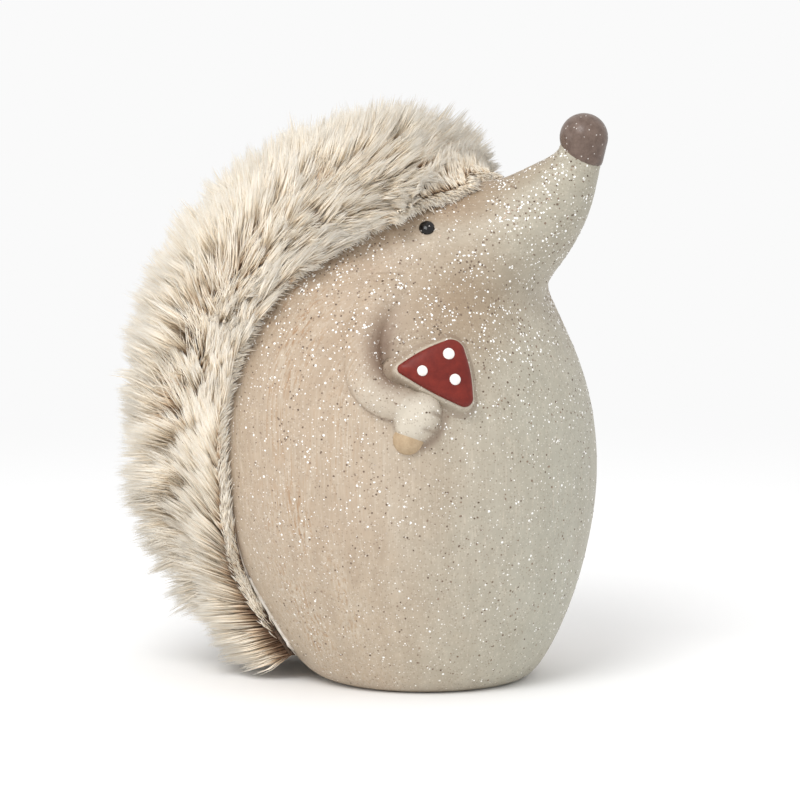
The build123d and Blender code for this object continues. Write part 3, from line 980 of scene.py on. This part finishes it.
def coat(count, clump_gap, tuft_gap, fullness, raggedness):
    """Fibres rooted all over the backing, gathered in clumps within tufts. By the cut edge the nap
    lies flat along the strip, and a parting runs between it and the fur that stands out."""
    outside, edge = fur_ground
    roots, normals = scattered(outside, count)
    nearest_edge, edge_gap = nearest(roots, edge)
    edge_gap = edge_gap / mm
    clump_centres = spaced_centres(roots, clump_gap * mm)
    tuft_centres = spaced_centres(roots, tuft_gap * mm)
    clump, _ = nearest(roots, clump_centres)
    tuft_of_clump, _ = nearest(clump_centres, tuft_centres)
    tuft = tuft_of_clump[clump]
    clump_chance = rng.normal(0, 1, (len(clump_centres), 4))[clump]
    tuft_chance = rng.normal(0, 1, (len(tuft_centres), 4))[tuft]
    to_edge = by_member(edge[nearest_edge] - roots, clump, len(clump_centres))[clump]
    along, over_edge, turn = nap_ways(roots, normals, to_edge)

    wander = edge_gap + 1.6 * tuft_chance[:, 3]
    near = 1 - smooth_step(2, 14, edge_gap)
    rump = 1 - smooth_step(28, 40, turn)
    flank = smooth_step(30, 48, turn) * (1 - smooth_step(100, 135, turn))
    brow = smooth_step(176, 190, turn)
    laid = 1 - smooth_step(6 + 5 * flank, 30 - 13 * flank, wander)
    lean, laid_lean = np.interp(turn, *lean_round), np.interp(turn, *laid_lean_round)
    lean = radians(1) * (lean + (laid_lean - lean) * laid)
    within = np.interp(edge_gap, *edge_spread) + np.interp(edge_gap, *flank_spread) * flank
    within = within * (1 - smooth_step(11, 15, wander))
    beyond = smooth_step(12.5, 16, wander) * (1 - smooth_step(18, 30, edge_gap)) * smooth_step(45, 90, turn)
    spread = within * (1 - rump) * (1 - brow) - 0.24 * beyond * flank - 0.45 * near * rump
    spread = spread + 0.55 * (1 - smooth_step(0, 6, edge_gap)) * smooth_step(168, 178, turn)
    right_side = roots[:, 0] < 0
    for place, inset, reach, width, opening in partings:
        across = (edge_gap - inset) / width
        share = np.exp(-across ** 2 - ((turn - place + 2) / reach) ** 2) * right_side
        spread = spread - opening * share * np.tanh(3 * across)
    jitter = raggedness * (0.10 * clump_chance + 0.17 * tuft_chance)[:, :3] * (1 - 0.6 * near)[:, None]
    jitter = jitter + rng.normal(0, 0.05, (count, 3))
    start = normals * np.cos(lean)[:, None] + along * np.sin(lean)[:, None]
    start = unit(start + over_edge * spread[:, None] + jitter)
    start[:, 1] = np.maximum(start[:, 1], np.interp(turn, *comb_back_round))
    fall = np.zeros_like(start)
    fall[:, 2] = -0.10 * (1 - rump)
    end = unit(start + (0.22 - 0.2 * brow)[:, None] * along + fall + 0.08 * raggedness * tuft_chance[:, :3])
    length = strand_length * mm * fullness * np.interp(turn, *length_round)
    length = length * (1 + rng.normal(0, 0.08, count)) * (1 + 0.05 * clump_chance[:, 3])
    length = length * (1 - 0.1 * near - 0.2 * near * smooth_step(140, 172, turn) - 0.1 * near * flank)
    path = fibre_paths(roots - normals * 0.4 * mm, start, end, length)
    for k, pull in enumerate(clump_pulls):
        middles = by_member(path[k], clump, len(clump_centres))[clump]
        path[k] += (middles - path[k]) * pull
    path = trimmed_front(path, rng.normal(0, 1.0 * mm, count))
    path[:, :, 2] = np.maximum(path[:, :, 2], (0.8 + rng.random(count) * 1.5) * mm)
    tone = 0.5 + 0.13 * clump_chance[:, 3] + 0.08 * tuft_chance[:, 2] + rng.normal(0, 0.15, count)
    return path, tone


def trimmed_front(path, raggedness):
    """Fibres over the brow cut short where they'd stand out past the slant that it is trimmed to."""
    root, tip = path[0], path[-1]
    inside = root[:, 1] - brow_trim_y - brow_trim_slope * (root[:, 2] - brow_trim_z) + raggedness
    outwards = (tip - root)[:, 1] - brow_trim_slope * (tip - root)[:, 2]
    past = (root[:, 2] > 100 * mm) & (outwards < 0) & (inside + outwards < 0)
    least = np.minimum(brow_stubble / np.linalg.norm(tip - root, axis=1), 1)
    share = np.where(past, np.clip(inside / np.maximum(-outwards, 1e-6), least, 1), 1)
    return root[None] + (path - root[None]) * share[None, :, None]


def fibre_paths(roots, start, end, length):
    """Each fibre's places from root to tip as it bends from one direction to another."""
    path = np.zeros((len(fibre_levels), len(roots), 3))
    path[0] = roots
    for k in range(1, len(fibre_levels)):
        share = (fibre_levels[k - 1] + fibre_levels[k]) / 2
        way = unit(start * (1 - share) + end * share)
        path[k] = path[k - 1] + way * (length * (fibre_levels[k] - fibre_levels[k - 1]))[:, None]
    return path


def hem(count):
    """Short fibres along the cut edge, combed over it so that the ground doesn't show."""
    edge = fur_ground[1]
    covered_share = smooth_step(30, 42, turn_round(edge))
    picked = rng.choice(len(edge), count, p=covered_share / covered_share.sum())
    roots = edge[picked]
    normals = np.array([skin_way(root) for root in roots])
    along, over_edge, turn = nap_ways(roots, normals, roots - roots.mean(axis=0))
    brow = smooth_step(172, 188, turn)
    inset = rng.random(count) * 1.5 * mm
    front = smooth_step(182, 187, turn)
    below = rng.random(count) < 0.35 * front
    inset = np.where(below, 0, inset)
    above = rng.random(count) * np.where(below, -0.9, 0.5) * mm
    roots = roots - over_edge * inset[:, None] + normals * above[:, None]
    spray = rng.normal(0, 0.10, (count, 3))
    up_share = 0.25 + 0.45 * rng.random(count) - 0.15 * front
    over_share = np.interp(turn, *hem_over_round)
    start = normals * up_share[:, None] + along * (0.75 - 0.35 * brow)[:, None]
    start = unit(start + over_edge * over_share[:, None] + spray * (1 + 1.6 * brow[:, None]))
    end = unit(start - normals * (0.45 + 0.5 * front)[:, None] + over_edge * 0.10)
    length = np.interp(turn, *hem_length_round) * mm * rng.uniform(0.7 - 0.25 * brow, 1.25, count)
    path = fibre_paths(roots, start, end, length)
    return path, 0.55 + rng.normal(0, 0.2, count)


def fibre_form():
    """One fibre, one long and one thick: three sides, a joint and a point, with U round it and V
    from its root to its tip."""
    rings = []
    for level, swell in zip(fibre_levels, fibre_swells):
        rings.append([(swell * cos(t), swell * sin(t), level) for t in (0, 2 * pi / 3, 4 * pi / 3)])
    form = ringed(rings)
    layer = form.loops.layers.uv.new("OFBake")
    for face in form.faces:
        middle = face.calc_center_median()
        side = np.arctan2(middle.y, middle.x)
        cap = abs(face.normal.z) > 0.9
        for number, loop in enumerate(face.loops):
            place = loop.vert.co / mm
            around = (np.arctan2(place.y, place.x) - side + pi) % (2 * pi) - pi
            wide = 0.5 + around * 3 / (2 * pi) if Vector(place.xy).length > 0.01 else 0.5
            share = ((side / (2 * pi)) % 1 * 3 // 1 + wide) / 3
            loop[layer].uv = (number / 3, 0.01 * (number == 1)) if cap else (share, place.z)
    return form


def copies_mesh(name, template, points, uvs=None):
    """Many copies of one small form as a mesh: points holds each copy's own places for its corners."""
    count = len(points)
    corners = np.array([loop.vertex_index for loop in template.loops])
    sizes = np.array([face.loop_total for face in template.polygons])
    copies = np.arange(count)[:, None]
    mesh = bpy.data.meshes.new(name)
    mesh.vertices.add(points.shape[0] * points.shape[1])
    mesh.vertices.foreach_set("co", points.ravel())
    mesh.loops.add(count * len(corners))
    mesh.loops.foreach_set("vertex_index", (corners + points.shape[1] * copies).ravel().astype(np.int32))
    mesh.polygons.add(count * len(sizes))
    starts = np.cumsum(sizes) - sizes
    mesh.polygons.foreach_set("loop_start", (starts + len(corners) * copies).ravel().astype(np.int32))
    if uvs is not None:
        mesh.uv_layers.new(name="OFBake").data.foreach_set("uv", uvs.ravel())
    mesh.update(calc_edges=True)
    return mesh


def offset(ways, reaches, places):
    """How far each copy's corners lie out along one of its directions."""
    return ways[:, None] * (reaches[:, None] * places)[:, :, None]


def fibre_piece(name, path, radii, columns, span, material):
    """A piece made of copies of the fibre, each bent along its own path."""
    template = to_mesh(name, fibre_form())
    places = np.array([vert.co for vert in template.vertices]) / mm
    flat = np.array([item.uv for item in template.uv_layers["OFBake"].data])
    level = np.argmin(np.abs(places[:, 2][:, None] - np.array(fibre_levels)), axis=1)
    way = unit(path[-1] - path[0])
    first = unit(np.cross(way, [0.31, 0.17, 0.93]))
    second = np.cross(way, first)
    points = path[level].transpose(1, 0, 2)
    points = points + offset(first, radii, places[:, 0]) + offset(second, radii, places[:, 1])
    across = (columns[:, None] + 0.15 + 0.7 * flat[:, 0]) / strand_columns
    lengthwise = np.broadcast_to(span[0] + (span[1] - span[0]) * flat[:, 1], across.shape)
    mesh = copies_mesh(name, template, points, np.stack([across, lengthwise], axis=-1))
    bpy.data.meshes.remove(template)
    return piece(name, mesh, material, "fur_fibre", "fur_pile")


def fur(name, pieces, radius, span, tone_shift, grown):
    """One coat of fur in several pieces, from the rump up. Its span says which part of the fibre's
    colours it shows, from root to tip: the undercoat stops at fawn."""
    path, tone = grown
    count = len(tone)
    columns = np.clip(np.floor((tone + tone_shift) * strand_columns), 0, strand_columns - 1)
    radii = radius * mm * (1 + rng.normal(0, 0.15, count))
    order = np.argsort(path[0, :, 2])
    for number, chosen in enumerate(np.array_split(order, pieces), 1):
        fibre_piece(f"{name}_{number}", path[:, chosen], radii[chosen], columns[chosen], span, fibre)


fibre = fur_fibre()
fur_ground = backing_ground()
fur("fur_undercoat", 2, 0.26, (0.01, 0.50), -0.1, coat(26000, 3.0, 8.0, 0.62, 0.7))
fur("fur_guard_hair", 7, 0.13, (0.01, 0.99), 0.0, coat(100000, 2.3, 7.5, 1.0, 1.0))
fur("fur_edge_hair", 1, 0.14, (0.30, 0.99), 0.0, hem(13000))


def backing_sheet():
    """The knitted ground of the fur, stretched over the back on its glue, a little uneven."""
    form = merged_nodes("fur_backing")
    long_edges = [edge for edge in form.edges if edge.calc_length() > 2.5 * mm]
    bmesh.ops.subdivide_edges(form, edges=long_edges, cuts=1, use_grid_fill=True)
    bmesh.ops.triangulate(form, faces=form.faces)
    form.normal_update()
    for vert in form.verts:
        vert.co += turbulence_vector(vert.co / mm * 0.9, 2, False) * 0.12 * mm
    return form


knit = backing_knit()
backing = piece("backing_sheet", backing_sheet(), knit, "backing_knit", "fur_backing")


def glue_bead():
    """Glue that was pressed out round the rump end of the fur and dried in a whitish bead."""
    edge = fur_ground[1]
    turn = turn_round(edge)
    low, turn = edge[turn < bead_end] / mm, turn[turn < bead_end]
    order = np.argsort(np.arctan2(turn - bead_end, low[:, 0]))
    line = np.array([part.mean(axis=0) for part in np.array_split(low[order], bead_joints)])
    middle = low.mean(axis=0)
    places = []
    for place in line:
        outwards = flattened(place - middle, skin_way(place * mm))
        seat, way, _, _ = casting_tree.find_nearest(Vector(place + outwards * bead_reach) * mm)
        places.append(np.array(seat) / mm + 0.1 * np.array(way))
    places = smooth_line(places, 4 * bead_joints)
    rings = []
    for k in range(1, len(places) - 1):
        along = unit(places[k + 1] - places[k - 1])
        first = unit(np.cross(along, skin_way(places[k] * mm)))
        second = np.cross(along, first)
        width = bead_radius * (1 + 0.3 * turbulence(Vector(places[k]) * 0.35, 2, False))
        rings.append(round_ring(places[k], first, second * 0.7, width, 10))
    return ringed(rings)


glue = merged_nodes("fur_adhesive")
bead_copy = to_mesh("bead", glue_bead())
glue.from_mesh(bead_copy)
bpy.data.meshes.remove(bead_copy)
piece("glue_film", glue, dried_glue(), "clear_adhesive", "fur_adhesive")


# Glitter

def joined_tree(*pieces):
    """One search tree over several pieces, and the piece that each of its faces belongs to."""
    places, faces, owners = [], [], []
    for made in pieces:
        start = len(places)
        places += [vert.co.copy() for vert in made.data.vertices]
        for face in made.data.polygons:
            faces.append([start + corner for corner in face.vertices])
            owners.append(made)
    return BVHTree.FromPolygons(places, faces), owners


def glitter_density(points):
    """How thick the glitter lies: mostly over the snout, cheeks, chest and upper flanks."""
    y, z = points[:, 1] / mm, points[:, 2] / mm
    density = np.interp(z, *glitter_by_height) * np.interp(y, *glitter_by_depth)
    drifts = np.array([turbulence(Vector(p) / mm * 0.11, 3, False) for p in points])
    return density * np.clip(0.35 + 1.6 * drifts, 0.12, 1.3)


def flakes(name, count, size, even, material):
    """Thin six-sided flakes of foil lying on the paint, each tipped a little its own way."""
    form = bmesh.new()
    bmesh.ops.create_circle(form, cap_ends=True, segments=6, radius=1)
    top = bmesh.ops.extrude_face_region(form, geom=form.faces[:])["geom"]
    raised = [part for part in top if isinstance(part, bmesh.types.BMVert)]
    bmesh.ops.translate(form, verts=raised, vec=(0, 0, 1))
    bmesh.ops.recalc_face_normals(form, faces=form.faces)
    template = to_mesh(name, form)
    places = np.array([vert.co for vert in template.vertices])
    points, normals = scattered(casting_corners, count)
    density = even + (1 - even) * glitter_density(points)
    kept = (rng.random(count) < density) & (points[:, 2] > 1.5 * mm)
    centres, ways = [], []
    for point, normal in zip(points[kept], normals[kept]):
        start, normal = Vector(point + normal * flake_drop), Vector(normal)
        hit, way, face, gap = skin_tree.ray_cast(start, -normal)
        painted = hit and skin_owners[face] != cap and gap < flake_drop + 2 * mm
        if painted and covered.find(hit)[2] >= clear_of_fur:
            centres.append(hit)
            ways.append(way)
    centres, ways = np.array(centres), np.array(ways)
    count = len(centres)
    ways = unit(ways + rng.normal(0, 0.13, (count, 3)))
    first = unit(np.cross(ways, rng.normal(0, 1, (count, 3))))
    second = np.cross(ways, first)
    radii = size * mm * rng.uniform(0.6, 1.15, count)
    long_shares = rng.uniform(0.75, 1.0, count)
    heights = places[:, 2] * flake_thickness - flake_sink
    points = centres[:, None] + offset(first, radii, places[:, 0])
    points = points + offset(second, radii * long_shares, places[:, 1]) + ways[:, None] * heights[:, None]
    made = piece(name, copies_mesh(name, template, points), material, "painted_body", "body_shell")
    made.data.shade_flat()
    bpy.data.meshes.remove(template)


casting_corners = corner_points(casting.data)
skin_tree, skin_owners = joined_tree(casting, right_arm, left_arm, gills, cap)
covered = search_tree(scattered(fur_ground[0], 6000)[0])
# Pale flakes are painted glints, and brown flakes painted dark reflections.
glint_foil = flake_foil("Glint foil", (0.88, 0.86, 0.82), (0.99, 0.985, 0.97), 0.0, 0.3)
dark_reflection_foil = flake_foil("Dark reflection foil", (0.11, 0.075, 0.05), (0.30, 0.22, 0.16), 0.4, 0.35)
flakes("glitter_pale", 26000, 0.31, 0.0, glint_foil)
flakes("glitter_fine", 22000, 0.18, 0.15, glint_foil)
flakes("glitter_dark", 26000, 0.28, 0.08, dark_reflection_foil)


# Floor, light and view

def pale_floor():
    """A plain pale floor that keeps the ornament's shadow. Far off, the camera sees it as the same
    even backdrop all over."""
    material, tree, shader = new_material("Studio floor", 0.9, specular=0.1)
    place = node("TexCoord", "Object", tree=tree)
    surfaced(shader, ramp(noise(place, 0.5, 1), (0.0, 0.865), (1.0, 0.875)))
    camera_ray, glossy_ray = node("LightPath", ("Is Camera Ray", "Is Glossy Ray"), tree=tree)
    share = eased(far_off(place), backdrop_start, backdrop_end) * clamped(camera_ray + glossy_ray)
    backdrop = node("Emission", 0, {"Color": backdrop_colour, "Strength": 1.0}, None, tree)
    seen = node("MixShader", 0, {0: share, 1: Field(shader.outputs[0]), 2: backdrop})
    tree.links.new(seen.socket, tree.nodes["Material Output"].inputs["Surface"])
    form = bmesh.new()
    bmesh.ops.create_grid(form, x_segments=1, y_segments=1, size=15)
    mesh = to_mesh("floor", form)
    floor = bpy.data.objects.new("floor", mesh)
    mesh.materials.append(material)
    bpy.context.scene.collection.objects.link(floor)


def lamp(name, place, size, power):
    light = bpy.data.lights.new(name, "AREA")
    light.shape = "DISK"
    light.size = size
    light.energy = power
    made = bpy.data.objects.new(name, light)
    made.location = place
    made.rotation_euler = (lamp_aim - made.location).to_track_quat("-Z", "Y").to_euler()
    bpy.context.scene.collection.objects.link(made)


pale_floor()
world = bpy.data.worlds.new("Studio")
world.use_nodes = True
world.node_tree.nodes["Background"].inputs[0].default_value = (1.0, 1.0, 1.0, 1)
world.node_tree.nodes["Background"].inputs[1].default_value = 1.0
bpy.context.scene.world = world
lamp("key", (-0.95, 0.0, 1.15), 0.7, 10.5)
lamp("low fill", (-0.7, 0.85, 0.22), 0.6, 1.2)

camera_data = bpy.data.cameras.new("camera")
camera_data.lens = view_lens
camera_data.sensor_width = 36
camera_data.clip_end = 50
camera = bpy.data.objects.new("camera", camera_data)
back = Vector((
    sin(view_azimuth) * cos(view_elevation),
    -cos(view_azimuth) * cos(view_elevation),
    sin(view_elevation),
))
camera.location = view_target + back * view_distance
camera.rotation_mode = "QUATERNION"
camera.rotation_quaternion = (-back).to_track_quat("-Z", "Y")
bpy.context.scene.collection.objects.link(camera)
bpy.context.scene.camera = camera
bpy.context.scene.view_settings.view_transform = "Standard"
